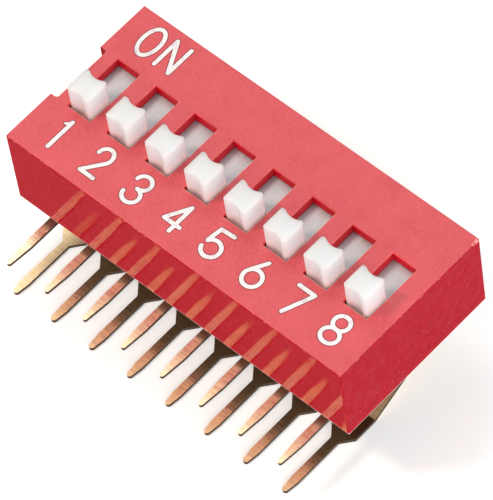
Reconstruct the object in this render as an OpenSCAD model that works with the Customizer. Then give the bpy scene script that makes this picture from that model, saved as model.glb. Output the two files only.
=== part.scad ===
// Right-angle slide DIP switch with formed leads.
//
// X runs along the row of positions, position 1 at the -X end. +Y points away from the
// circuit board, towards the ON side, and +Z is the side of the actuators. The origin is
// the centre of the long wall that lies on the board. All sizes are in millimetres.

/* [Housing] */
// Number of switch positions
ways = 8; // [2:1:12]
// Spacing of the positions, and of the leads along a row
pitch = 2.54; // [2.5:0.01:2.6]
// From the last position's centre line to the end face of the cover
end_margin = 1.91; // [1.8:0.01:2.3]
// Height of the cover
body_h = 5.2; // [5:0.1:6]
// Thickness of the cover's top
top_t = 0.6; // [0.45:0.05:0.75]
// Thickness of the cover's long walls
side_t = 0.75; // [0.6:0.05:0.85]
// Thickness of the ribs between the cells
rib_t = 0.5; // [0.4:0.05:0.6]
// Rounding of the cover's outer edges
edge_r = 0.1; // [0.05:0.01:0.2]
// Depth of the recess in the end wall that marks position 1
notch_d = 0.45; // [0.2:0.05:0.6]
// Width of that recess
notch_w = 3.5; // [2:0.1:5]
// Rounding of its inner corners
notch_r = 0.15; // [0.05:0.05:0.2]

/* [Base] */
// Height of the base's top above the cover's lower rim
base_top = 2.2; // [1.9:0.1:2.4]
// How far the base's underside lies inside the rim
rim_d = 0.1; // [0:0.05:0.4]
// Gap between the base and the cover's walls
base_fit = 0.03; // [0.01:0.01:0.08]
// Length of a snap lug on the base
lug_l = 1.2; // [0.6:0.1:1.6]
// Height of a snap lug
lug_h = 0.6; // [0.4:0.1:0.8]
// How far a snap lug reaches into the cover's wall
lug_d = 0.22; // [0.1:0.02:0.35]
// Height of a snap lug's ledge above the rim
lug_z = 0.75; // [0.5:0.05:0.9]

/* [Slots and sliders] */
// Length of a knob along its travel
knob_l = 1.44; // [1.2:0.02:1.6]
// Width of a knob
knob_w = 1.42; // [1.2:0.02:1.5]
// Height of a knob above the cover's top
knob_h = 1.5; // [0.5:0.1:2]
// Rounding of a knob's upright corners
corner_r = 0.18; // [0.16:0.01:0.24]
// Rounding of a knob's upper edge
knob_r = 0.12; // [0.04:0.01:0.14]
// Depth of the grip groove in a knob's front and back
grip_d = 0.15; // [0.08:0.01:0.2]
// Travel of a slider from OFF to ON
travel = 1.9; // [1.7:0.05:2.1]
// Gap between a knob and the slot's ends at either stop
slot_end_gap = 0.08; // [0.04:0.01:0.12]
// Gap between a knob and the slot's sides
slot_side_gap = 0.04; // [0.03:0.01:0.08]
// Chamfer round a slot's rim
rim_break = 0.05; // [0.02:0.01:0.08]
// Thickness of a slider's cover plate
plate_t = 0.5; // [0.35:0.05:0.6]
// How far the plate laps the slot's ends at either stop
plate_lap = 0.2; // [0.1:0.05:0.25]
// Gap between a plate's end and the cover's wall at either stop
plate_end_gap = 0.3; // [0.15:0.05:0.4]
// Running gap between a slider and the cover
run_gap = 0.05; // [0.03:0.01:0.08]

/* [Moving contacts] */
// Width of the spring strip
contact_w = 1; // [0.7:0.05:1.1]
// Thickness of the spring strip
contact_t = 0.12; // [0.08:0.01:0.16]
// Distance between its two feet
foot_span = 2.2; // [2:0.05:2.3]
// Length of the flat bridge between its legs
bridge_l = 0.8; // [0.6:0.05:1]
// Straight length of the upturned end beyond a foot
toe_l = 0.15; // [0.1:0.05:0.25]
// Radius of a foot, on the middle of the strip
foot_r = 0.2; // [0.15:0.01:0.25]
// Gap between a foot and the pads it wipes
foot_gap = 0.03; // [0.02:0.01:0.08]
// How far past the middle of the pads the contact stands at ON
contact_shift = 0.5; // [0.4:0.05:0.55]
// Thickness of the plastic above the contact's pocket
pocket_roof = 0.6; // [0.4:0.05:0.8]
// Wall around the contact's pocket
pocket_wall = 0.25; // [0.2:0.01:0.3]
// Gap between the pocket's rim and the base
pocket_rim_gap = 0.3; // [0.2:0.05:0.5]

/* [Leads] */
// Thickness of the lead strip
lead_t = 0.2; // [0.16:0.01:0.28]
// Width of a pin
pin_w = 0.46; // [0.4:0.02:0.6]
// Width of the strip at the contact pads and at the rear leads' shoulders
shoulder_w = 1.54; // [1.3:0.02:1.7]
// Gap between the two contact pads of a position
pad_gap = 0.9; // [0.8:0.05:1]
// Plastic between the leads and the base's long sides, where they leave it
lead_wall = 0.185; // [0.125:0.005:0.25]
// Distance between the rows of pins at the board
row_step = 2.54; // [2.5:0.02:2.8]
// Depth of the front row of pins below the rim
front_drop = 0.8; // [0.7:0.01:1]
// How far the pins reach beyond the wall on the board
pin_reach = 2.95; // [2.5:0.05:3.6]
// Bend radius of the leads, on the middle of the strip
bend_r = 0.3; // [0.25:0.01:0.35]
// Depth below the rim at which the rear leads turn forward
rear_knee = 0.57; // [0.45:0.01:0.8]
// Distance from the wall on the board at which the rear leads level out
slant_end = 2.75; // [2.4:0.05:3.4]
// Distance from the wall on the board at which the wide shoulders end
shoulder_end = 1.35; // [0.9:0.05:1.8]
// Length over which a shoulder narrows to the pin
shoulder_taper = 0.65; // [0.4:0.05:0.8]
// Length of the taper at the end of a front pin
front_taper = 1.45; // [0.6:0.05:2]
// Length of the taper at the end of a rear pin
rear_taper = 0.8; // [0.4:0.05:1.6]
// Width of a front pin's tip
front_tip_w = 0.24; // [0.16:0.02:0.36]
// Width of a rear pin's tip
rear_tip_w = 0.3; // [0.16:0.02:0.4]

/* [Hidden] */
// Overrun that keeps a cut clear of the face it passes through
over = 0.2;
// Straight pieces in a rounded edge, in half a grip groove and in a bend
edge_steps = 4;
grip_steps = 4;
bend_steps = 8;
$fn = 64;

// Slots that the knobs run in, and plates that keep them covered at both stops
slot_l = knob_l + travel + 2 * slot_end_gap;
slot_w = knob_w + 2 * slot_side_gap;
plate_l = slot_l + travel + 2 * plate_lap;

// Cells between the ribs, and the pocket below them that takes the base
cell_w = pitch - rib_t;
cell_l = plate_l + travel + 2 * plate_end_gap;
cell_top = body_h - top_t;
pocket_l = (ways - 1) * pitch + cell_w;

// Cover, from the wall on the board to the wall on the ON side
body_l = (ways - 1) * pitch + 2 * end_margin;
body_w = cell_l + 2 * side_t;
mid_y = body_w / 2;

// Sliders, stored in the OFF position
knob_y = mid_y - travel / 2;
plate_w = cell_w - 2 * run_gap;
plate_top = cell_top - run_gap;
plate_bottom = plate_top - plate_t;

// Grip groove that runs smoothly into the knob's rounded corners
corner = [knob_w / 2 - corner_r, knob_l / 2 - corner_r];
grip_r = (pow(corner.x, 2) + pow(grip_d, 2)) / (2 * grip_d) - corner_r;
grip_y = knob_l / 2 - grip_d + grip_r;
grip_join = atan2(grip_y - corner.y, corner.x);

// Contacts, each against the roof of its slider's pocket
contact_y = mid_y + contact_shift - travel;
pocket_top = plate_bottom - pocket_roof;
skirt_bottom = base_top + pocket_rim_gap;
foot_bottom = base_top + foot_gap;
bridge_z = pocket_top - contact_t / 2;
leg_run = (foot_span - bridge_l) / 2;
leg_angle = atan((bridge_z - foot_bottom - contact_t / 2) / leg_run);
foot_z = foot_bottom + contact_t / 2 - foot_r * (1 / cos(leg_angle) - 1);
toe = (foot_r * tan(leg_angle) + toe_l) * [cos(leg_angle), sin(leg_angle)];
well_w = contact_w + 2 * run_gap;
well_l = foot_span + 2 * (toe.x + contact_t);

// Leads
front_exit = side_t + base_fit + lead_wall + lead_t / 2;
rear_exit = body_w - front_exit;
pad_z = base_top - lead_t / 2;
front_z = -front_drop;
rear_z = front_z - row_step;

// Centre line of a position, numbered from 1
function way_x(i) = (i - (ways + 1) / 2) * pitch;

function turned(v, a) = [v.x * cos(a) - v.y * sin(a), v.x * sin(a) + v.y * cos(a)];
function left_of(v) = [-v.y, v.x];
function heading(path, i) = (path[i + 1] - path[i]) / norm(path[i + 1] - path[i]);
function turn_side(path, i) = sign(cross(heading(path, i - 1), heading(path, i)));
function turn_angle(path, i) = acos(heading(path, i - 1) * heading(path, i));

// Centre of the bend of radius r at corner i of a path
function bend_centre(path, i, r) =
    path[i] - heading(path, i - 1) * r * tan(turn_angle(path, i) / 2)
    + turn_side(path, i) * r * left_of(heading(path, i - 1));

// One face of a strip that follows a path, offset to its left by o
function strip_side(path, o, r) = concat(
    [path[0] + o * left_of(heading(path, 0))],
    [for (i = [1:len(path) - 2]) for (k = [0:bend_steps])
        bend_centre(path, i, r) + (o - turn_side(path, i) * r)
            * left_of(turned(heading(path, i - 1),
                             turn_side(path, i) * turn_angle(path, i) * k / bend_steps))],
    [path[len(path) - 1] + o * left_of(heading(path, len(path) - 2))]);

function reversed(list) = [for (i = [len(list) - 1:-1:0]) list[i]];

// Outline of a strip of thickness t, bent to the centre-line radius r along a path
function strip_outline(path, t, r) =
    concat(strip_side(path, t / 2, r), reversed(strip_side(path, -t / 2, r)));

// Arc about a centre, from angle a to angle b, and a quarter turn from angle a
function arc(centre, r, a, b, steps) =
    [for (k = [0:steps]) centre + r * [cos(a + (b - a) * k / steps),
                                       sin(a + (b - a) * k / steps)]];
function quarter(centre, r, a) = arc(centre, r, a, a + 90, edge_steps);

// Rectangle about the origin with four rounded corners
function rounded_rect(l, w, r) = concat(
    quarter([l / 2 - r, w / 2 - r], r, 0),
    quarter([-l / 2 + r, w / 2 - r], r, 90),
    quarter([-l / 2 + r, -w / 2 + r], r, 180),
    quarter([l / 2 - r, -w / 2 + r], r, 270));

// Rectangle on the first axis with its two upper corners rounded
function arched_rect(l, h, r) = concat(
    [[-l / 2, 0], [l / 2, 0]],
    quarter([l / 2 - r, h - r], r, 0),
    quarter([-l / 2 + r, h - r], r, 90));

// Outlines drawn in X-Z and in Y-Z, made into prisms centred on the third axis
module extrude_y(length) rotate([90, 0, 0]) linear_extrude(length, center = true) children();
module extrude_x(length) rotate([90, 0, 90]) linear_extrude(length, center = true) children();

// Block, standing on the first plane, whose edges are all rounded
module soft_block(l, w, h, r) {
    translate([0, 0, h / 2])
    intersection() {
        linear_extrude(h, center = true) polygon(rounded_rect(l, w, r));
        extrude_y(w + over) polygon(rounded_rect(l, h, r));
        extrude_x(l + over) polygon(rounded_rect(w, h, r));
    }
}

// Wedge on the base that snaps behind a ledge in the cover, grown by a gap
module lug(gap) {
    extrude_x(lug_l + 2 * gap) polygon([
        [over, lug_z - gap],
        [-lug_d - gap, lug_z - gap],
        [-lug_d - gap, lug_z + gap],
        [0, lug_z + lug_h + gap],
        [over, lug_z + lug_h + gap]]);
}

// Lugs on both long sides, beside the first and the last position
module lugs(gap) {
    for (x = [-1, 1] * (ways / 2 - 1) * pitch) {
        translate([x, side_t + base_fit, 0]) lug(gap);
        translate([x, body_w - side_t - base_fit, 0]) rotate(180) lug(gap);
    }
}

// Profile of a slot's chamfered rim, for an opening of width w
function rim_profile(w) = [
    [-w / 2 + rim_break, body_h - 2 * rim_break], [w / 2 - rim_break, body_h - 2 * rim_break],
    [w / 2 + over, body_h - rim_break + over], [-w / 2 - over, body_h - rim_break + over]];

// Slot through the cover's top, about the axis
module slot() {
    translate([-slot_w / 2, -slot_l / 2, cell_top - over])
        cube([slot_w, slot_l, top_t + 2 * over]);
    intersection() {
        extrude_y(slot_l + 2 * over) polygon(rim_profile(slot_w));
        extrude_x(slot_w + 2 * over) polygon(rim_profile(slot_l));
    }
}

module cover() {
    color([0.80, 0.14, 0.18])
    difference() {
        translate([0, mid_y, 0]) soft_block(body_l, body_w, body_h, edge_r);
        // pocket for the base
        translate([-pocket_l / 2, side_t, -over]) cube([pocket_l, cell_l, base_top + over]);
        // cells for the sliders and the slots above them
        for (i = [1:ways]) {
            translate([way_x(i) - cell_w / 2, side_t, base_top - over])
                cube([cell_w, cell_l, cell_top - base_top + over]);
            translate([way_x(i), mid_y, 0]) slot();
        }
        // recess that marks position 1
        translate([-body_l / 2, mid_y, -over]) linear_extrude(body_h + 2 * over)
            polygon(rounded_rect(2 * notch_d, notch_w, notch_r));
        lugs(base_fit);
    }
}

// Floor of the switch, moulded around the sixteen leads
module base() {
    color([0.10, 0.10, 0.11])
    difference() {
        union() {
            translate([-pocket_l / 2 + base_fit, side_t + base_fit, rim_d])
                cube([pocket_l - 2 * base_fit, cell_l - 2 * base_fit, base_top - rim_d]);
            lugs(0);
        }
        for (i = [1:ways]) {
            front_terminal(i);
            rear_terminal(i);
        }
    }
}

// Back of a knob seen from above: two rounded corners with the grip groove between them
function knob_back() = concat(
    arc(corner, corner_r, 0, 180 - grip_join, edge_steps),
    [for (k = [1 - grip_steps:grip_steps - 1])
        [0, grip_y] + grip_r * [-sin((90 - grip_join) * k / grip_steps),
                                -cos((90 - grip_join) * k / grip_steps)]],
    arc([-corner.x, corner.y], corner_r, grip_join, 180, edge_steps));

// Top of the grip groove, where it flares out to the rounding of a knob's upper edge
module grip_flare(tall) {
    rotate_extrude() polygon(concat(
        [[0, tall + over], [0, tall - knob_r]],
        reversed(quarter([grip_r + knob_r, tall - knob_r], knob_r, 90)),
        [[grip_r + knob_r, tall + over]]));
}

module knob() {
    tall = body_h + knob_h - plate_bottom;
    difference() {
        intersection() {
            linear_extrude(tall) polygon(concat(knob_back(), -knob_back()));
            extrude_y(knob_l + over) polygon(arched_rect(knob_w, tall, knob_r));
            extrude_x(knob_w + over) polygon(arched_rect(knob_l, tall, knob_r));
        }
        for (side = [-1, 1]) translate([0, side * grip_y, 0]) grip_flare(tall);
    }
}

// Knob, plate that keeps the slot covered, and skirt that carries the contact
module slider(i) {
    color([0.93, 0.92, 0.92])
    translate([way_x(i), 0, 0])
    difference() {
        union() {
            translate([0, knob_y, plate_bottom]) knob();
            translate([-plate_w / 2, knob_y - plate_l / 2, plate_bottom])
                cube([plate_w, plate_l, plate_t]);
            translate([-well_w / 2 - pocket_wall, contact_y - well_l / 2 - pocket_wall,
                       skirt_bottom])
                cube([well_w + 2 * pocket_wall, well_l + 2 * pocket_wall,
                      plate_bottom + plate_t / 2 - skirt_bottom]);
        }
        translate([-well_w / 2, contact_y - well_l / 2, skirt_bottom - over])
            cube([well_w, well_l, pocket_top - skirt_bottom + over]);
    }
}

// Sprung bridge that joins the two pads in the ON position
module contact(i) {
    half = [[bridge_l / 2, bridge_z], [foot_span / 2, foot_z],
            [foot_span / 2, foot_z] + toe];
    path = concat([for (p = reversed(half)) [-p.x, p.y]], half);
    color([0.86, 0.70, 0.40])
    translate([way_x(i), contact_y, 0])
        extrude_x(contact_w) polygon(strip_outline(path, contact_t, foot_r));
}

// Pin seen from above: straight sides, a taper and a rounded tip, up to y = from
function pin_plan(from, taper, tip_w) = concat(
    [[pin_w / 2, from], [-pin_w / 2, from], [-pin_w / 2, taper - pin_reach]],
    quarter([0, tip_w / 2 - pin_reach], tip_w / 2, 180),
    quarter([0, tip_w / 2 - pin_reach], tip_w / 2, 270),
    [[pin_w / 2, taper - pin_reach]]);

// Shoulder seen from above, narrowing to the pin's width
function shoulder_plan() = [
    [shoulder_w / 2, body_w], [-shoulder_w / 2, body_w], [-shoulder_w / 2, shoulder_end],
    [-pin_w / 2, shoulder_end - shoulder_taper], [pin_w / 2, shoulder_end - shoulder_taper],
    [shoulder_w / 2, shoulder_end]];

// Strip in the Y-Z plane, cut to its outline by the children
module formed_lead(i, path) {
    color([0.85, 0.66, 0.36])
    translate([way_x(i), 0, 0])
    intersection() {
        extrude_x(shoulder_w) polygon(strip_outline(path, lead_t, bend_r));
        union() children();
    }
}

// Contact pad on the base, straight down and forward to the nearer row of pins
module front_terminal(i) {
    pad_end = mid_y - pad_gap / 2;
    formed_lead(i, [[pad_end, pad_z], [front_exit, pad_z], [front_exit, front_z],
                    [-pin_reach, front_z]]) {
        translate([-shoulder_w / 2, 0, rim_d + lead_t])
            cube([shoulder_w, pad_end + over, base_top]);
        translate([0, 0, front_z - lead_t])
            linear_extrude(base_top - front_z + lead_t)
                polygon(pin_plan(pad_end, front_taper, front_tip_w));
    }
}

// Contact pad on the base, down, slanting forward under the switch, then level
module rear_terminal(i) {
    pad_end = mid_y + pad_gap / 2;
    formed_lead(i, [[pad_end, pad_z], [rear_exit, pad_z], [rear_exit, -rear_knee],
                    [slant_end, rear_z], [-pin_reach, rear_z]]) {
        translate([0, 0, rear_z - lead_t]) linear_extrude(base_top - rear_z + 2 * lead_t) {
            polygon(shoulder_plan());
            polygon(pin_plan(shoulder_end, rear_taper, rear_tip_w));
        }
    }
}

// Puts the origin at the centre of the wall that lies on the board
module on_seat() {
    translate([0, 0, -body_h / 2]) children();
}

on_seat() cover();
on_seat() base();
for (i = [1:ways]) {
    on_seat() slider(i);
    on_seat() contact(i);
    on_seat() front_terminal(i);
    on_seat() rear_terminal(i);
}
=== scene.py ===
"""Right-angle slide DIP switch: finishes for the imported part, printed legends, camera, floor and light.

Everything is in metres, in the part's own frame: +X along the row of positions, +Y towards
the ON side, +Z on the side of the knobs. Sizes written in millimetres are multiplied by MM.
Colours are linear red, green and blue.
"""

import math

import bmesh
import bpy
from mathutils import Matrix, Vector


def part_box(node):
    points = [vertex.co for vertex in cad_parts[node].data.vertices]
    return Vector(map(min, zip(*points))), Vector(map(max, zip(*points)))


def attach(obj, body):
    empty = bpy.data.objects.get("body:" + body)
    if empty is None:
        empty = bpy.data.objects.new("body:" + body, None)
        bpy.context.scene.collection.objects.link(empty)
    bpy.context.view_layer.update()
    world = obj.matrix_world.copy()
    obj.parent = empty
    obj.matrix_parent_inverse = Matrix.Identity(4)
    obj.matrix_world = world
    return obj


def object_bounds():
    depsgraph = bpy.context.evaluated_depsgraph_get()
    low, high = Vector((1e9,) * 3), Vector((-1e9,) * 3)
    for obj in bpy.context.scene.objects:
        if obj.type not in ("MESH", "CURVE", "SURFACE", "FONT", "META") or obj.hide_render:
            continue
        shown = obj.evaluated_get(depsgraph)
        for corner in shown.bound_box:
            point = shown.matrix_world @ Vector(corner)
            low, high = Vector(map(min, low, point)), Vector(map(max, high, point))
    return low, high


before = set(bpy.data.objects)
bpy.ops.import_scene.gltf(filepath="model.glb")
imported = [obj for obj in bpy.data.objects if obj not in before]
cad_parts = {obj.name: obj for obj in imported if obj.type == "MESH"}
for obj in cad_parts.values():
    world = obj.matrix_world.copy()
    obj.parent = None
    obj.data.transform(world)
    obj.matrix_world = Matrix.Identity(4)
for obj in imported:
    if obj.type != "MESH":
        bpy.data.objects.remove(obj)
cad_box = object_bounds()

MM = 0.001


# ---------------------------------------------------------------- measures of the part, in millimetres

WAYS = 8
PITCH = 2.54
HOUSING = "housing"

COVER_LOW, COVER_HIGH = ([c / MM for c in corner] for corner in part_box("cover"))
RIM = COVER_LOW[2]
TOP = COVER_HIGH[2]
MIDDLE_Y = (COVER_LOW[1] + COVER_HIGH[1]) / 2

SLOT_REACH = 2.0  # along Y, from the middle of the cover to just beyond the ends of the slots
PLATE_TOP = TOP - 0.65  # upper face of the sliders' plates, just under the cover's top wall
HAIR = 0.01  # more than any place is off by rounding


def way_x(i):
    """Centre line of position i."""
    return (i - (WAYS + 1) / 2) * PITCH


# ---------------------------------------------------------------- node helpers

MIX_A, MIX_B = 6, 7  # the Mix node's inputs for two colours
MIX_RESULT = 2  # and its output for the mixed one
BEVEL_SAMPLES = 6
FINE = 9.0  # waves a millimetre of the finest grain on the plastics


class Nodes:
    """A small builder for one material; places are in millimetres, and so are distances."""

    def __init__(self, name):
        """A new material with a Principled BSDF."""
        self.material = bpy.data.materials.new(name)
        self.material.use_nodes = True
        self.tree = self.material.node_tree
        self.shader = self.tree.nodes["Principled BSDF"]

    def feed(self, socket, value):
        """Gives an input what it reads: another node's output, a number, a vector or a colour."""
        if hasattr(value, "node"):
            self.tree.links.new(value, socket)
        elif socket.type == "RGBA":
            socket.default_value = (*value, 1)
        else:
            socket.default_value = value

    def add(self, kind, inputs=None, **settings):
        """New node of a kind; inputs says what each input reads, settings are the node's own."""
        node = self.tree.nodes.new(kind)
        for name, value in settings.items():
            setattr(node, name, value)
        for socket, value in (inputs or {}).items():
            self.feed(node.inputs[socket], value)
        return node

    def shade(self, inputs):
        """What the shader's own inputs read."""
        for socket, value in inputs.items():
            self.feed(self.shader.inputs[socket], value)

    def place(self, stretch=(1, 1, 1)):
        """Place on the object, with each axis multiplied by its stretch."""
        coord = self.add("ShaderNodeTexCoord")
        scale = [s / MM for s in stretch]
        return self.add("ShaderNodeMapping", {"Vector": coord.outputs["Object"],
                                              "Scale": scale}).outputs["Vector"]

    def axis(self, vector, name):
        """X, Y or Z of a vector."""
        return self.add("ShaderNodeSeparateXYZ", {"Vector": vector}).outputs[name]

    def noise(self, place, scale, detail=3.0, roughness=0.55):
        """Noise from 0 to 1, of about scale waves a millimetre."""
        return self.add("ShaderNodeTexNoise", {"Vector": place, "Scale": scale, "Detail": detail,
                                               "Roughness": roughness}).outputs["Fac"]

    def ramp(self, value, low, high, at=(0.3, 0.7)):
        """low where value is at[0] or less, rising or falling evenly to high at at[1] and beyond."""
        return self.add("ShaderNodeMapRange", {"Value": value, "From Min": at[0], "From Max": at[1],
                                               "To Min": low, "To Max": high},
                        clamp=True).outputs["Result"]

    def mix(self, share, a, b):
        """Colour or vector a where share is 0, turning to b where it is 1."""
        return self.add("ShaderNodeMix", {"Factor": share, MIX_A: a, MIX_B: b},
                        data_type="RGBA").outputs[MIX_RESULT]

    def patches(self, place, scale, a, b, at=(0.3, 0.7), **grain):
        """Colour that drifts between a and b in soft patches."""
        return self.mix(self.ramp(self.noise(place, scale, **grain), 0, 1, at=at), a, b)

    def uneven(self, place, low, high, scale=FINE):
        """Value that wavers between low and high, as a roughness does."""
        return self.ramp(self.noise(place, scale), low, high)

    def bump(self, height, strength, distance, softened=0.0):
        """Relief of a height field, over edges that look rounded by softened."""
        node = self.add("ShaderNodeBump", {"Height": height, "Strength": strength,
                                           "Distance": distance * MM})
        if softened:
            edges = self.add("ShaderNodeBevel", {"Radius": softened * MM}, samples=BEVEL_SAMPLES)
            self.feed(node.inputs["Normal"], edges.outputs["Normal"])
        self.shade({"Normal": node.outputs["Normal"]})


# ---------------------------------------------------------------- red plastic of the cover

HIGHLIGHT_STRETCH = (4, 1, 4)  # makes the painted highlight on the corner four times as long in Y as in X and Z
HIGHLIGHT_REACH = (0.50, 0.62)  # how far from the corner it fades out, along Y
EDGE_CHIPS_AND_HIGHLIGHT = (TOP - 0.12, TOP - 0.04)  # Z, over which the chips of the upper edge set in, partly wear and partly a painted highlight of that edge
PAINTED_HIGHLIGHT_BAND = (RIM + 0.09, RIM + 0.13)  # Z, over which the painted highlight band on the lower rim ends
PAINTED_SHADE_BOTTOM = (RIM, RIM + 0.02)  # Z, over which the painted shade on the underside and at the bottom of that band ends


def corner_painted_highlight(nodes, tone):
    """tone with a pale chipped patch on the cover's upper corner beyond the last position, a painted
    highlight of its rounding.
    """
    corner = [c * s for c, s in zip(COVER_HIGH, HIGHLIGHT_STRETCH)]
    away = nodes.add("ShaderNodeVectorMath", {0: nodes.place(HIGHLIGHT_STRETCH), 1: corner},
                     operation="DISTANCE").outputs["Value"]
    chips = nodes.patches(nodes.place(), 8.0, tone, (1.0, 0.36, 0.35), at=(0.44, 0.54), detail=2.0)
    return nodes.mix(nodes.ramp(away, 1, 0, at=HIGHLIGHT_REACH), tone, chips)


def cover_top():
    """Fine spark-eroded face that carries the slots and the legends, in a paler, pinker tone than the
    walls of the same moulding, which is a painted sheen.
    """
    nodes = Nodes("red_textured_plastic_painted_sheen")
    mm = nodes.place()
    grain = nodes.noise(mm, FINE, detail=5.0, roughness=0.7)
    # paler and pinker than the walls' tone: painted sheen on the top
    tone = nodes.patches(mm, 0.7, (0.69, 0.064, 0.077), (0.785, 0.094, 0.110), detail=4.0)
    tone = nodes.mix(nodes.ramp(grain, 0, 1, at=(0.42, 0.72)), tone, (0.835, 0.118, 0.138))
    nodes.shade({"Base Color": corner_painted_highlight(nodes, tone), "Roughness": nodes.ramp(grain, 0.40, 0.48)})
    nodes.bump(grain, 0.25, 0.008)
    return nodes.material


def clouded_ends_painted_sheen(nodes, mm, tone):
    """tone with dull clouds on the end walls, which face along X; the clouds are partly mottling and
    partly a painted sheen that greys the end walls and not the long walls.
    """
    facing = nodes.axis(nodes.add("ShaderNodeTexCoord").outputs["Normal"], "X")
    facing = nodes.add("ShaderNodeMath", {0: facing}, operation="ABSOLUTE").outputs["Value"]
    clear = nodes.ramp(nodes.noise(mm, 1.4, detail=4.0, roughness=0.6), 0.79, 0.90, at=(0.36, 0.62))
    clouds = nodes.mix(clear, (0.27, 0.08, 0.11), tone)
    return nodes.mix(nodes.ramp(facing, 0, 1, at=(0.3, 0.9)), tone, clouds)


def handled(nodes, mm, tone):
    """tone with short rub marks in two directions, a faint bloom and pale specks."""
    marks = nodes.patches(mm, 0.9, nodes.place((3, 2.5, 14)), nodes.place((14, 12, 2.5)))
    marks = nodes.ramp(nodes.noise(marks, 1.0, detail=3.0), 0, 0.25, at=(0.61, 0.68))
    tone = nodes.mix(marks, tone, (0.72, 0.09, 0.11))
    bloom = nodes.ramp(nodes.noise(mm, 1.6, detail=6.0, roughness=0.8), 0, 0.045, at=(0.46, 0.64))
    tone = nodes.mix(bloom, tone, (0.80, 0.14, 0.18))
    specks = nodes.ramp(nodes.noise(mm, 7.0, detail=2.0), 0, 0.10, at=(0.60, 0.72))
    return nodes.mix(specks, tone, (0.86, 0.26, 0.30))


def edges_painted_light_and_shade(nodes, mm, tone):
    """tone with pale chips along the upper edge, partly wear and partly a painted highlight, and along
    the lower rim a painted highlight band, with painted shade at its bottom and on the underside.
    """
    height = nodes.axis(mm, "Z")
    chips = nodes.ramp(nodes.noise(mm, 3.0, detail=4.0, roughness=0.8), 0, 0.4, at=(0.54, 0.64))
    chips = nodes.mix(chips, tone, (0.98, 0.42, 0.42))
    tone = nodes.mix(nodes.ramp(height, 0, 1, at=EDGE_CHIPS_AND_HIGHLIGHT), tone, chips)
    tone = nodes.mix(nodes.ramp(height, 1, 0, at=PAINTED_HIGHLIGHT_BAND), tone, (0.95, 0.60, 0.56))
    return nodes.mix(nodes.ramp(height, 0, 1, at=PAINTED_SHADE_BOTTOM), (0.17, 0.004, 0.008), tone)


def cover_walls():
    """Polished faces of the same moulding, which mirror the leads a little, in a darker tone than the
    top's, which is painted shade.
    """
    nodes = Nodes("red_polished_plastic_painted_shade")
    mm = nodes.place()
    # darker than the top's tone: painted shade on the walls
    tone = nodes.patches(mm, 3.2, (0.42, 0.001, 0.010), (0.50, 0.004, 0.017), at=(0.32, 0.68),
                         detail=5.0, roughness=0.65)
    tone = clouded_ends_painted_sheen(nodes, mm, tone)
    tone = handled(nodes, mm, tone)
    # painted highlights along the edges, painted shade on the underside
    tone = edges_painted_light_and_shade(nodes, mm, tone)
    nodes.shade({"Base Color": corner_painted_highlight(nodes, tone),
                 "Roughness": nodes.uneven(mm, 0.08, 0.12),
                 "Specular IOR Level": 0.0105})
    nodes.bump(nodes.noise(mm, 1.3), 0.02, 0.006)
    return nodes.material


def slot_walls_painted_glow(name, tone_a, tone_b):
    """Walls of the slots, in a brighter red than the outer walls, which paints in a glow of light that
    comes through the thin webs between them.
    """
    nodes = Nodes(name)
    mm = nodes.place()
    nodes.shade({"Base Color": nodes.patches(mm, 1.5, tone_a, tone_b),
                 "Roughness": nodes.uneven(mm, 0.30, 0.40),
                 "Specular IOR Level": 0.05})
    return nodes.material


def rims_painted_highlight(name, tone_a, tone_b):
    """Bevelled rims of the slots, in tones brighter than the top's, which paint a highlight on them."""
    nodes = Nodes(name)
    mm = nodes.place()
    nodes.shade({"Base Color": nodes.patches(mm, 2.5, tone_a, tone_b),
                 "Roughness": nodes.uneven(mm, 0.35, 0.45)})
    return nodes.material


def legend_shade_outline():
    """Dark red outline round the legends, which is painted shade at the edge of the ink."""
    nodes = Nodes("red_legend_outline_painted_shade")
    mm = nodes.place()
    nodes.shade({"Base Color": nodes.patches(mm, 5.0, (0.16, 0.004, 0.008), (0.28, 0.008, 0.014)),
                 "Roughness": nodes.uneven(mm, 0.35, 0.45)})
    return nodes.material


# ---------------------------------------------------------------- other materials

PAINTED_GLOW_HEIGHT = 0.65  # how far up a knob the painted glow near its slot reaches
SOFTENED = 0.30  # radius by which the edges of a slider look rounded
OUT_OF_HOUSING = (-0.3, 0.3)  # Y, where a lead comes out from under the housing
ALONG_PIN = (-2.1, -1.2)  # Y, over which a pin loses the paler tone, a painted highlight, that it has beside the housing
MARK_SHADE = 0.86  # tone of the marks across a lead against its own
ROUGHNESS_SPREAD = 0.009


def base_plastic():
    """Nearly black brown moulding around the leads."""
    nodes = Nodes("black_moulded_plastic")
    mm = nodes.place()
    grain = nodes.noise(mm, FINE, detail=4.0)
    nodes.shade({"Base Color": nodes.patches(mm, 1.5, (0.058, 0.018, 0.014), (0.080, 0.027, 0.022)),
                 "Roughness": nodes.ramp(grain, 0.36, 0.55),
                 "Specular IOR Level": 0.12})
    nodes.bump(grain, 0.3, 0.01)
    return nodes.material


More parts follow.
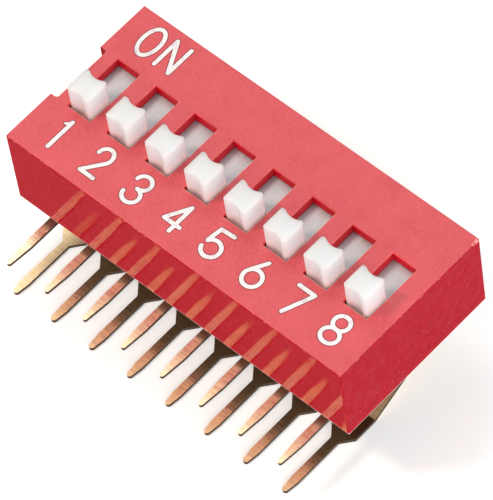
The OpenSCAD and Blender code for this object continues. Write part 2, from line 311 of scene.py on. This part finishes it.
def slider_plastic(name, tone_a, tone_b, depth, rubbed, painted_glow=None):
    """White moulding that light enters by about depth, rubbed along its travel.

    rubbed is the strength of the rub marks, and foot a warm tint where the knob leaves its slot, a
    painted glow of the cover's red light and a painted lift against the shade there.
    """
    nodes = Nodes(name)
    mm = nodes.place()
    streaks = nodes.ramp(nodes.noise(nodes.place((7, 1.2, 7)), 1.0), 0, rubbed, at=(0.52, 0.7))
    tone = nodes.patches(mm, 1.2, tone_a, tone_b)
    # warmer and lighter low on the knob: painted glow and lift against shade
    if painted_glow:
        low = nodes.ramp(nodes.axis(mm, "Z"), 1, 0, at=(TOP, TOP + PAINTED_GLOW_HEIGHT))
        tone = nodes.mix(low, tone, painted_glow)
    nodes.shade({"Base Color": nodes.mix(streaks, tone, (0.92, 0.93, 0.94)),
                 "Roughness": nodes.uneven(mm, 0.30, 0.42, scale=12.0),
                 "Subsurface Weight": 1.0,
                 "Subsurface Radius": (0.65, 1.0, 1.0),
                 "Subsurface Scale": depth * MM})
    nodes.bump(nodes.noise(mm, 2.5), 0.12, 0.01, softened=SOFTENED)
    return nodes.material


def gold(name, tone_a, tone_b, roughness, thin=None):
    """Gold plate on rolled strip, with faint marks across it; thin is a paler tone beside the housing, a
    painted highlight against the red that the pins mirror there.
    """
    nodes = Nodes(name)
    mm = nodes.place()
    marks = nodes.noise(nodes.place((1.2, 10, 4)), 1.0, detail=2.0)
    tone = nodes.mix(nodes.ramp(nodes.noise(mm, 1.1), 0, 0.7), tone_a, tone_b)
    # paler beside the housing: painted highlight
    if thin:
        y = nodes.axis(mm, "Y")
        beside = nodes.mix(nodes.ramp(y, 0, 1, at=ALONG_PIN), tone, thin)
        tone = nodes.mix(nodes.ramp(y, 1, 0, at=OUT_OF_HOUSING), tone, beside)
    shaded = [c * MARK_SHADE for c in tone_a]
    nodes.shade({"Base Color": nodes.mix(nodes.ramp(marks, 0, 1, at=(0.45, 0.65)), tone, shaded),
                 "Metallic": 1.0,
                 "Roughness": nodes.ramp(marks, roughness - ROUGHNESS_SPREAD,
                                         roughness + ROUGHNESS_SPREAD)})
    return nodes.material


def ink():
    """White ink, thin in places."""
    nodes = Nodes("white_ink")
    mm = nodes.place()
    nodes.shade({"Base Color": nodes.patches(mm, 2.6, (0.84, 0.74, 0.78), (0.97, 0.965, 0.97),
                                             at=(0.36, 0.46)),
                 "Roughness": nodes.uneven(mm, 0.40, 0.55, scale=10.0)})
    return nodes.material


RED_WALLS_PAINTED_SHADE = cover_walls()
BLACK = base_plastic()
WHITE = slider_plastic("white_moulded_plastic", (0.742, 0.875, 0.898), (0.772, 0.90, 0.923),
                       depth=2.2, rubbed=0.2, painted_glow=(1.0, 0.925, 0.88))
# darker, greyer copy of the same white moulding for the plates down in the slots: painted shade
PLATE_PAINTED_SHADE = slider_plastic("white_plate_painted_shade", (0.655, 0.722, 0.75), (0.735, 0.792, 0.82),
                       depth=0.5, rubbed=0.35)
# nearly black copy of the gold for the leads' cut sides and tips: painted shade
CUT_EDGE_PAINTED_SHADE = gold("strip_edge_painted_shade", (0.085, 0.057, 0.036), (0.12, 0.08, 0.05), 0.42)
LEAD = gold("gold_plated_strip", (0.83, 0.66, 0.38), (0.90, 0.72, 0.41), 0.285,
            thin=(0.97, 0.84, 0.52))
# the front row in a paler, brighter copy of the same plating: painted light
FRONT_LEAD_PAINTED_LIGHT = gold("front_gold_strip_painted_light", (0.92, 0.765, 0.48), (0.98, 0.82, 0.52), 0.31,
                   thin=(1.0, 0.95, 0.68))
# rougher for the first rear lead, and a little darker and less yellow than the others: painted shade
SOFT_LEAD_PAINTED_SHADE = gold("soft_gold_strip_painted_shade", (0.83, 0.63, 0.37), (0.90, 0.69, 0.40), 0.36)
# rough where rear leads slant under the housing, with a paler tone that paints in the light they show
# there
MATT_PAINTED_LIGHT = gold("matt_bent_strip_painted_light", (0.94, 0.68, 0.40), (0.99, 0.74, 0.45), 0.68)
SPRING = gold("gold_plated_spring", (0.70, 0.52, 0.27), (0.76, 0.57, 0.30), 0.22)
INK = ink()
OUTLINE_SHADE = legend_shade_outline()


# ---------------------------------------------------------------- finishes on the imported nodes

# finishes by the first word of a node's name, and of one node by its whole name
LOOKS = {"cover": RED_WALLS_PAINTED_SHADE, "base": BLACK, "slider": WHITE, "contact": SPRING,
         "front": FRONT_LEAD_PAINTED_LIGHT, "rear": LEAD, "rear_terminal_1": SOFT_LEAD_PAINTED_SHADE}
SMOOTH_ANGLE = math.radians(32)

# limits on the Z of a face's normal, which has a length of 1
STEEP = 0.3  # walls are below it
ROUNDED = 0.6  # on a rounded edge, what is above it counts as the top
LEVEL = 0.9  # level faces are above it

# limits on its X or Y
SIDEWAYS = 0.3  # a face looks along an axis where its normal has more than this along it
FORWARD = -0.2  # a slanting face looks towards -Y below it

# places in millimetres
TOP_BAND = 0.1  # how far below the top the cover's upper rims reach
SLANT_FROM = 1  # Y, beyond which a rear lead slants under the housing
TIPS_FROM = -1  # Y, before which a wall on a lead is its tip


def place_key(mesh, vertex):
    """Place of a vertex to a tenth of a micrometre, the same for vertices that coincide."""
    return tuple(round(c / MM, 4) for c in mesh.vertices[vertex].co)


def smooth_rounded_edges(mesh):
    """Normals that run smoothly over the small facets of a rounding, large faces kept flat."""
    mesh.shade_smooth()
    limit = math.cos(SMOOTH_ANGLE)
    corners = [(face, place_key(mesh, vertex)) for face in mesh.polygons for vertex in face.vertices]
    faces_at = {}
    for face, key in corners:
        faces_at.setdefault(key, []).append(face)
    normals = []
    for face, key in corners:
        alike = [other for other in faces_at[key] if other.normal.dot(face.normal) > limit]
        total = sum((other.normal * other.area for other in alike), Vector())
        normals.append(total.normalized())
    mesh.normals_split_custom_set(normals)


def finish_faces(name, chosen, material):
    """Gives the faces of a node that chosen(normal, centre) picks another finish."""
    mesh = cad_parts[name].data
    mesh.materials.append(material)
    for face in mesh.polygons:
        if chosen(face.normal, face.center / MM):
            face.material_index = len(mesh.materials) - 1


def around_slots(centre):
    """True for a place on the slots, their rims or the webs between them."""
    return abs(centre.y - MIDDLE_Y) < SLOT_REACH and abs(centre.x) < WAYS * PITCH / 2


def on_top(normal, centre):
    """The cover's upper face."""
    return normal.z > ROUNDED and centre.z > TOP - TOP_BAND


def on_slot_rim(normal, centre):
    """Bevelled rims of the slots."""
    return STEEP < normal.z < LEVEL and centre.z > TOP - TOP_BAND and around_slots(centre)


def on_rim_facing_key(normal, centre):
    """Rims that face position 1 or the ON side, towards the key lamp, which take a paler painted
    highlight.
    """
    return on_slot_rim(normal, centre) and (normal.x < -SIDEWAYS or normal.y > SIDEWAYS)


def on_slot_wall(normal, centre):
    """Walls of the slots."""
    return abs(normal.z) < STEEP and centre.z > PLATE_TOP and around_slots(centre)


def on_slot_side(normal, centre):
    """Long walls of the slots."""
    return on_slot_wall(normal, centre) and abs(normal.x) > SIDEWAYS


def on_plate(normal, centre):
    """Everything on a slider from its plate down."""
    return centre.z < PLATE_TOP + HAIR


def on_slant(normal, centre):
    """Upper faces of a rear lead where it slants forward under the housing."""
    return normal.z > STEEP and normal.y < FORWARD and centre.y > SLANT_FROM


def on_cut(normal, centre):
    """Sides and tip of a lead, where it was cut from the strip."""
    return abs(normal.x) > SIDEWAYS or (abs(normal.z) < STEEP and centre.y < TIPS_FROM)


# a later finish takes its faces from an earlier one
COVER_FINISHES = (
    (on_top, cover_top()),
    # rims brighter than the top, and palest where they face the key lamp: painted highlights
    (on_slot_rim, rims_painted_highlight("red_slot_rim_painted_highlight", (0.86, 0.05, 0.06), (0.92, 0.12, 0.12))),
    (on_rim_facing_key, rims_painted_highlight("red_rim_facing_key_painted_highlight", (0.92, 0.34, 0.31), (0.98, 0.62, 0.57))),
    # slot walls brighter than the outer walls: painted glow; their long walls in a paler copy: painted
    # light
    (on_slot_wall, slot_walls_painted_glow("red_slot_painted_glow", (0.70, 0.004, 0.022), (0.78, 0.009, 0.032))),
    (on_slot_side, slot_walls_painted_glow("red_slot_sides_painted_light", (0.64, 0.030, 0.045), (0.71, 0.042, 0.060))),
)


def dress_nodes():
    """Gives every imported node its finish, and some of its faces another."""
    for name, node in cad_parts.items():
        node.data.materials.clear()
        node.data.materials.append(LOOKS.get(name, LOOKS[name.split("_")[0]]))
        smooth_rounded_edges(node.data)
    for chosen, material in COVER_FINISHES:
        finish_faces("cover", chosen, material)
    for i in range(1, WAYS + 1):
        # the sliders' plates take the darker copy of the white: painted shade
        finish_faces("slider_%d" % i, on_plate, PLATE_PAINTED_SHADE)
        # slanted faces take the rough, paler copy: painted light
        finish_faces("rear_terminal_%d" % i, on_slant, MATT_PAINTED_LIGHT)
        for row in ("front", "rear"):
            # cut sides and tips take the nearly black copy: painted shade
            finish_faces("%s_terminal_%d" % (row, i), on_cut, CUT_EDGE_PAINTED_SHADE)


dress_nodes()


# ---------------------------------------------------------------- making objects

def build_mesh(name, built, material):
    """Mesh made of a bmesh, with its material."""
    mesh = bpy.data.meshes.new(name)
    built.to_mesh(mesh)
    built.free()
    mesh.materials.append(material)
    return mesh


def add_object(name, data):
    """New object in the scene."""
    thing = bpy.data.objects.new(name, data)
    bpy.context.scene.collection.objects.link(thing)
    return thing


# ---------------------------------------------------------------- printed legends, in millimetres

STROKE = 0.22  # width
GRID = 0.035  # side of the cells in which the outline of a glyph is found
INK_TOP = 0.014  # thickness of the ink
MARGIN_TOP = 0.006  # thickness of the margin round it
MARGIN_W = 0.04  # and its width
EMBED = 0.004  # how far a legend reaches into the cover
EDGE_SHARE = 0.5  # thickness at a legend's outline, as a share of the thickness inside
ARC_STEP = 12  # degrees
SHARP_ANGLE = math.radians(40)


def arc(centre, radii, start, end):
    """Points of an elliptical arc, angles in degrees."""
    count = max(2, round(abs(end - start) / ARC_STEP))
    angles = [math.radians(start + (end - start) * k / count) for k in range(count + 1)]
    return [(centre[0] + radii[0] * math.cos(angle), centre[1] + radii[1] * math.sin(angle))
            for angle in angles]


# strokes of each number: X from the centre line of its position, and Y
DIGITS = {
    1: [[(0.137, 0.82), (0.137, 2.57)],
        [(-0.14, 2.30), (0.137, 2.54)],
        [(-0.10, 2.30), (0.137, 2.42)]],
    2: [arc((0.175, 2.12), (0.405, 0.45), 180, -40) + [(-0.29, 0.835), (0.57, 0.835)]],
    3: [arc((0.13, 2.14), (0.43, 0.41), 175, -90),
        arc((0.09, 1.29), (0.47, 0.44), 90, -175)],
    4: [[(0.357, 0.93), (0.357, 2.56), (-0.35, 1.36), (0.64, 1.35)]],
    5: [[(0.51, 2.60), (-0.28, 2.55), (-0.40, 1.75)] + arc((0.05, 1.44), (0.5, 0.5), 150, -163)],
    6: [[(0.22, 2.55), (-0.298, 1.685)],
        arc((0.135, 1.435), (0.5, 0.5), 0, 360)],
    7: [[(-0.41, 2.557), (0.58, 2.55), (-0.09, 0.95)]],
    8: [arc((0.028, 2.205), (0.43, 0.415), 0, 360),
        arc((0.02, 1.375), (0.485, 0.43), 0, 360)],
}
THIN_STROKES = {(1, 1): 0.10, (1, 2): 0.10}  # widths of the flag of the 1, by number and stroke

# strokes of the word ON: X and Y on the cover
ON = [arc((-9.02, 8.38), (0.50, 0.88), 0, 360),
      [(-8.04, 7.54), (-8.04, 9.22)],
      [(-8.03, 9.22), (-7.14, 7.55)],
      [(-7.13, 7.54), (-7.13, 9.22)]]


def glyphs():
    """Each legend as a list of strokes, a stroke being its points and its width."""
    for i, strokes in DIGITS.items():
        yield [([(way_x(i) + x, y) for x, y in points], THIN_STROKES.get((i, k), STROKE))
               for k, points in enumerate(strokes)]
    yield [(points, STROKE) for points in ON]


def depth_inside(point, strokes):
    """How far inside the drawn strokes a point lies, negative outside."""
    x, y = point
    depths = []
    for points, width in strokes:
        for (ax, ay), (bx, by) in zip(points, points[1:]):
            dx, dy = bx - ax, by - ay
            along = ((x - ax) * dx + (y - ay) * dy) / (dx * dx + dy * dy)
            along = max(0.0, min(1.0, along))
            depths.append(width / 2 - math.hypot(x - ax - along * dx, y - ay - along * dy))
    return max(depths)


def cell_outline(depth, i, j):
    """Corners, in order, of the part of a grid cell that lies inside the strokes.

    Each is a pair of grid points: the same one twice where it lies inside, or the inner and the
    outer end of a side of the cell that the outline crosses.
    """
    cell = [(i, j), (i + 1, j), (i + 1, j + 1), (i, j + 1)]
    outline = []
    for here, there in zip(cell, cell[1:] + cell[:1]):
        if depth[here] > 0:
            outline.append((here, here))
        if (depth[here] > 0) != (depth[there] > 0):
            outline.append((here, there) if depth[here] > 0 else (there, here))
    return outline


def add_glyph(skin, strokes, grow, thickness):
    """Raised shape of a glyph, grown by a margin, as one closed skin on the cover's top."""
    xs = [x for points, _ in strokes for x, _ in points]
    ys = [y for points, _ in strokes for _, y in points]
    edge = STROKE / 2 + grow + GRID
    left, front = min(xs) - edge, min(ys) - edge
    columns = math.ceil((max(xs) + edge - left) / GRID)
    rows = math.ceil((max(ys) + edge - front) / GRID)
    depth = {(i, j): depth_inside((left + i * GRID, front + j * GRID), strokes) + grow
             for i in range(columns + 1) for j in range(rows + 1)}
    layers = ({}, {})

    def vertex(layer, corner):
        """Vertex of an outline's corner, in the upper layer (0) or the lower one (1)."""
        if corner not in layers[layer]:
            inner, outer = corner
            whole = inner == outer
            share = 0.0 if whole else depth[inner] / (depth[inner] - depth[outer])
            x = left + (inner[0] + share * (outer[0] - inner[0])) * GRID
            y = front + (inner[1] + share * (outer[1] - inner[1])) * GRID
            z = TOP - EMBED if layer else TOP + thickness * (1.0 if whole else EDGE_SHARE)
            layers[layer][corner] = skin.verts.new((x * MM, y * MM, z * MM))
        return layers[layer][corner]

    for i in range(columns):
        for j in range(rows):
            outline = cell_outline(depth, i, j)
            if len(outline) > 2:
                skin.faces.new([vertex(0, corner) for corner in outline])
                skin.faces.new([vertex(1, corner) for corner in reversed(outline)])
                for one, two in zip(outline, outline[1:] + outline[:1]):
                    if one[0] != one[1] and two[0] != two[1]:
                        skin.faces.new([vertex(0, two), vertex(0, one), vertex(1, one), vertex(1, two)])


def legends(name, grow, thickness, material):
    """All the legends, each grown by a margin, as one piece that rides on the housing."""
    skin = bmesh.new()
    for strokes in glyphs():
        add_glyph(skin, strokes, grow, thickness)
    bmesh.ops.recalc_face_normals(skin, faces=skin.faces)
    mesh = build_mesh(name, skin, material)
    mesh.shade_smooth()
    mesh.set_sharp_from_angle(angle=SHARP_ANGLE)
    piece = add_object(name, mesh)
    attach(piece, HOUSING)
    return piece


legends("printed_legends", 0.0, INK_TOP, INK)
# a dark outline round each legend: painted shade
legends("legend_outlines_painted_shade", MARGIN_W, MARGIN_TOP, OUTLINE_SHADE)


# ---------------------------------------------------------------- camera

TARGET = Vector((1.337, 3.539, 0.0)) * MM
AZIMUTH, ELEVATION, ROLL = (math.radians(angle) for angle in (50.679, 56.166, -9.835))
DISTANCE = 260.89 * MM
FOCAL_PIXELS = 5495.6  # focal length in pixels of a frame that is PHOTO_HEIGHT pixels high
PHOTO_HEIGHT = 500
SENSOR = 36.0  # height in millimetres
CLIP_START, CLIP_END = 0.01, 10


def add_camera():
    """Camera that looks at TARGET from AZIMUTH, counted from -Y towards +X, and ELEVATION."""
    back = Vector((math.sin(AZIMUTH) * math.cos(ELEVATION), -math.cos(AZIMUTH) * math.cos(ELEVATION),
                   math.sin(ELEVATION)))
    right = Vector((0, 0, 1)).cross(back).normalized()
    up = back.cross(right)
    turn = Matrix((right, up, back)).transposed() @ Matrix.Rotation(ROLL, 3, "Z")
    camera = add_object("camera", bpy.data.cameras.new("camera"))
    camera.matrix_world = Matrix.Translation(TARGET + back * DISTANCE) @ turn.to_4x4()
    camera.data.sensor_fit = "VERTICAL"
    camera.data.sensor_height = SENSOR
    camera.data.lens = FOCAL_PIXELS * SENSOR / PHOTO_HEIGHT
    camera.data.clip_start = CLIP_START
    camera.data.clip_end = CLIP_END
    bpy.context.scene.camera = camera


add_camera()


# ---------------------------------------------------------------- floor and light

FLOOR_REACH = 0.6  # from the middle of the floor to each side
FLOOR_LIFT = 0.38  # brightness added to it where the camera or a reflection sees it
WORLD_STRENGTH = 0.35


def floor_finish():
    """Pale matt floor, lifted towards white for the camera and in reflections."""
    nodes = Nodes("pale_floor")
    path = nodes.add("ShaderNodeLightPath")
    seen = path.outputs["Is Camera Ray"]
    for ray in ("Is Glossy Ray", "Is Transmission Ray"):
        seen = nodes.add("ShaderNodeMath", {0: seen, 1: path.outputs[ray]}, operation="ADD",
                         use_clamp=True).outputs["Value"]
    lift = nodes.add("ShaderNodeMath", {0: seen, 1: FLOOR_LIFT}, operation="MULTIPLY").outputs["Value"]
    tone = nodes.patches(nodes.place(), 0.05, (0.90, 0.90, 0.90), (0.92, 0.92, 0.92))
    nodes.shade({"Base Color": tone,
                 "Roughness": 0.9,
                 "Specular IOR Level": 0.0,
                 "Emission Color": (1, 1, 1),
                 "Emission Strength": lift})
    return nodes.material


def add_floor():
    """Flat floor at the lowest pins."""
    sheet = bmesh.new()
    bmesh.ops.create_grid(sheet, x_segments=1, y_segments=1, size=FLOOR_REACH)
    floor = add_object("floor", build_mesh("floor", sheet, floor_finish()))
    floor.location.z = cad_box[0][2]


def add_lamp(name, direction, distance, size, radiance, colour=(1, 1, 1)):
    """Square softbox that faces the origin from a direction, with its energy set by its radiance."""
    lamp = add_object(name, bpy.data.lights.new(name, "AREA"))
    lamp.data.shape = "SQUARE"
    lamp.data.size = size
    lamp.data.energy = radiance * math.pi * size ** 2
    lamp.data.color = colour
    place = Vector(direction).normalized()
    lamp.location = place * distance
    lamp.rotation_euler = place.to_track_quat("Z", "Y").to_euler()


def add_world():
    """Even white surroundings."""
    world = bpy.data.worlds.new("studio")
    world.use_nodes = True
    background = world.node_tree.nodes["Background"]
    background.inputs["Color"].default_value = (1, 1, 1, 1)
    background.inputs["Strength"].default_value = WORLD_STRENGTH
    bpy.context.scene.world = world


add_floor()
# stands where the faces that look along +Z mirror it into the camera
add_lamp("key", (-0.43, 0.35, 0.83), distance=0.25, size=0.15, radiance=1.75)
# small and warm, for the upper faces of the pins, whose images show in the polished long wall
add_lamp("kicker", (-0.41, -0.365, 0.83), distance=0.25, size=0.045, radiance=35.0,
         colour=(1.0, 0.85, 0.72))
# large and soft, from either side of the end beyond the last position
add_lamp("fill", (1.0, -0.85, 0.34), distance=0.40, size=0.25, radiance=4.6)
add_lamp("side", (1.0, 0.5, 0.40), distance=0.40, size=0.25, radiance=2.65)
add_world()

bpy.context.scene.view_settings.view_transform = "Standard"
